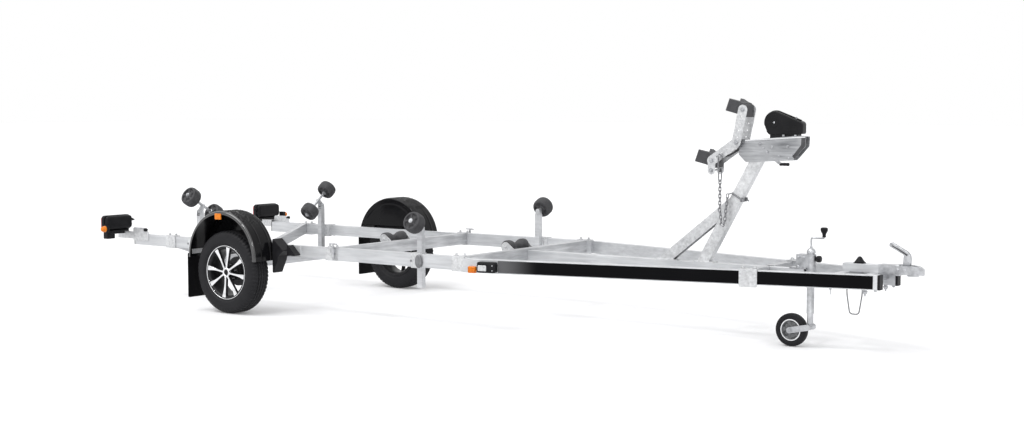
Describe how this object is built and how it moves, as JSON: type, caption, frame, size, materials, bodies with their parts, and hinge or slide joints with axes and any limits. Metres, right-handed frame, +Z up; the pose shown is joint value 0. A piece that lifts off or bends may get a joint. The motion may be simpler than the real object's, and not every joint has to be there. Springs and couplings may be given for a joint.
{
  "type": "boat trailer",
  "caption": "Road trailer for a small boat: an open frame of hollow beams on one sprung axle, with keel and side rollers, a winch post, fenders, lamps, a jockey wheel and a ball coupling.",
  "frame": {"origin": "on the ground, midway along the length and midway across the width", "axes": "+X forwards to the coupling, +Y to the trailer's left, +Z up; the trailer stands on its wheels and its jockey wheel"},
  "size_m": [6.23, 2.096, 1.5377],
  "materials": {
    "galvanised": "galvanised, satin",
    "black_trim": "smooth gloss",
    "black_plastic": "matte",
    "tyre_rubber": "matte tread",
    "alloy": "machined, polished",
    "drum_iron": "cast",
    "roller_rubber": "matte rubber",
    "flap_rubber": "matte rubber",
    "red_lens": "clear gloss",
    "amber_lens": "clear gloss",
    "clear_lens": "clear gloss",
    "zinc_steel": "zinc plated"
  },
  "bodies": {
    "chassis": {"rear_rails": "galvanised", "front_rails": "galvanised", "vee_beams": "galvanised", "rear_cross_beam": "galvanised", "cross_beams": "galvanised", "keel_beam": "galvanised", "rail_clamps": "galvanised", "axle_beam": "galvanised", "swing_arms": "galvanised", "fenders": "galvanised", "stays": "galvanised", "keel_brackets": "galvanised", "side_posts": "galvanised", "winch_post": "galvanised", "winch_brace": "galvanised", "winch_head": "galvanised", "bow_arms": "galvanised", "draw_bar": "galvanised", "coupling_head": "zinc_steel", "coupling_handle": "zinc_steel", "jockey_tube": "zinc_steel", "jockey_clamp": "zinc_steel", "cable_stirrup": "zinc_steel", "end_caps": "black_plastic", "tail_lamps": "black_plastic", "winch_cover": "black_plastic", "crank_knob": "black_plastic", "plug_holder": "black_plastic", "wheel_chock": "black_plastic", "winch_lever": "black_plastic", "safety_chain": "zinc_steel", "beam_trim": "black_trim", "mud_flaps": "flap_rubber", "tail_lenses": "red_lens", "side_markers": "amber_lens", "front_lamps": "clear_lens", "bow_pads": "roller_rubber"},
    "wheel_right": {"tyre_right": "tyre_rubber", "rim_right": "alloy", "hub_right": "drum_iron"},
    "wheel_left": {"tyre_left": "tyre_rubber", "rim_left": "alloy", "hub_left": "drum_iron"},
    "keel_roller_rear_body": {"keel_roller_rear": "roller_rubber"},
    "keel_roller_middle_body": {"keel_roller_middle": "roller_rubber"},
    "keel_roller_front_body": {"keel_roller_front": "roller_rubber"},
    "middle_roller_right_body": {"middle_roller_right": "roller_rubber"},
    "middle_roller_left_body": {"middle_roller_left": "roller_rubber"},
    "rocker_right": {"rocker_arm_right": "galvanised"},
    "outer_roller_right_body": {"outer_roller_right": "roller_rubber"},
    "inner_roller_right_body": {"inner_roller_right": "roller_rubber"},
    "rocker_left": {"rocker_arm_left": "galvanised"},
    "outer_roller_left_body": {"outer_roller_left": "roller_rubber"},
    "inner_roller_left_body": {"inner_roller_left": "roller_rubber"},
    "jockey_leg_body": {"jockey_leg": "zinc_steel"},
    "jockey_fork_body": {"jockey_fork": "zinc_steel"},
    "jockey_wheel": {"jockey_tyre": "tyre_rubber", "jockey_rim": "alloy"}
  },
  "joints": [
    {"name": "wheel_right_spin", "type": "hinge", "parent": "chassis", "child": "wheel_right", "pos_m": [-1.665, -0.94, 0.298], "axis": [0, 1, 0], "continuous": true},
    {"name": "wheel_left_spin", "type": "hinge", "parent": "chassis", "child": "wheel_left", "pos_m": [-1.665, 0.94, 0.298], "axis": [0, 1, 0], "continuous": true},
    {"name": "keel_roller_rear_spin", "type": "hinge", "parent": "chassis", "child": "keel_roller_rear_body", "pos_m": [-2.635, 0, 0.31626], "axis": [0, 1, 0], "continuous": true},
    {"name": "keel_roller_middle_spin", "type": "hinge", "parent": "chassis", "child": "keel_roller_middle_body", "pos_m": [-0.947, 0, 0.513], "axis": [0, 1, 0], "continuous": true},
    {"name": "keel_roller_front_spin", "type": "hinge", "parent": "chassis", "child": "keel_roller_front_body", "pos_m": [0.16, 0, 0.513], "axis": [0, 1, 0], "continuous": true},
    {"name": "middle_roller_right_spin", "type": "hinge", "parent": "chassis", "child": "middle_roller_right_body", "pos_m": [-0.122, -0.7655, 0.70881], "axis": [0, -0.9063, 0.4226], "continuous": true},
    {"name": "middle_roller_left_spin", "type": "hinge", "parent": "chassis", "child": "middle_roller_left_body", "pos_m": [-0.122, 0.75282, 0.73289], "axis": [0, 0.9063, 0.4226], "continuous": true},
    {"name": "rocker_right_tilt", "type": "hinge", "parent": "chassis", "child": "rocker_right", "pos_m": [-2.29, -0.667, 0.69], "axis": [1, 0, 0], "range_deg": [-8, 38]},
    {"name": "outer_roller_right_spin", "type": "hinge", "parent": "rocker_right", "child": "outer_roller_right_body", "pos_m": [-2.29, -0.75481, 0.80261], "axis": [0, -0.8599, 0.5105], "continuous": true},
    {"name": "inner_roller_right_spin", "type": "hinge", "parent": "rocker_right", "child": "inner_roller_right_body", "pos_m": [-2.29, -0.52609, 0.66681], "axis": [0, -0.8599, 0.5105], "continuous": true},
    {"name": "rocker_left_tilt", "type": "hinge", "parent": "chassis", "child": "rocker_left", "pos_m": [-2.29, 0.667, 0.668], "axis": [-1, 0, 0], "range_deg": [-8, 38]},
    {"name": "outer_roller_left_spin", "type": "hinge", "parent": "rocker_left", "child": "outer_roller_left_body", "pos_m": [-2.29, 0.73655, 0.79272], "axis": [0, 0.7716, 0.6361], "continuous": true},
    {"name": "inner_roller_left_spin", "type": "hinge", "parent": "rocker_left", "child": "inner_roller_left_body", "pos_m": [-2.29, 0.5313, 0.62353], "axis": [0, 0.7716, 0.6361], "continuous": true},
    {"name": "jockey_lift", "type": "slide", "parent": "chassis", "child": "jockey_leg_body", "axis": [0, 0, 1], "range_m": [-0.2, 0.055]},
    {"name": "jockey_swivel", "type": "hinge", "parent": "jockey_leg_body", "child": "jockey_fork_body", "pos_m": [2.397, 0, 0.145], "axis": [0, 0, 1], "continuous": true},
    {"name": "jockey_wheel_spin", "type": "hinge", "parent": "jockey_fork_body", "child": "jockey_wheel", "pos_m": [2.275, 0, 0.104], "axis": [0, 1, 0], "continuous": true}
  ]
}
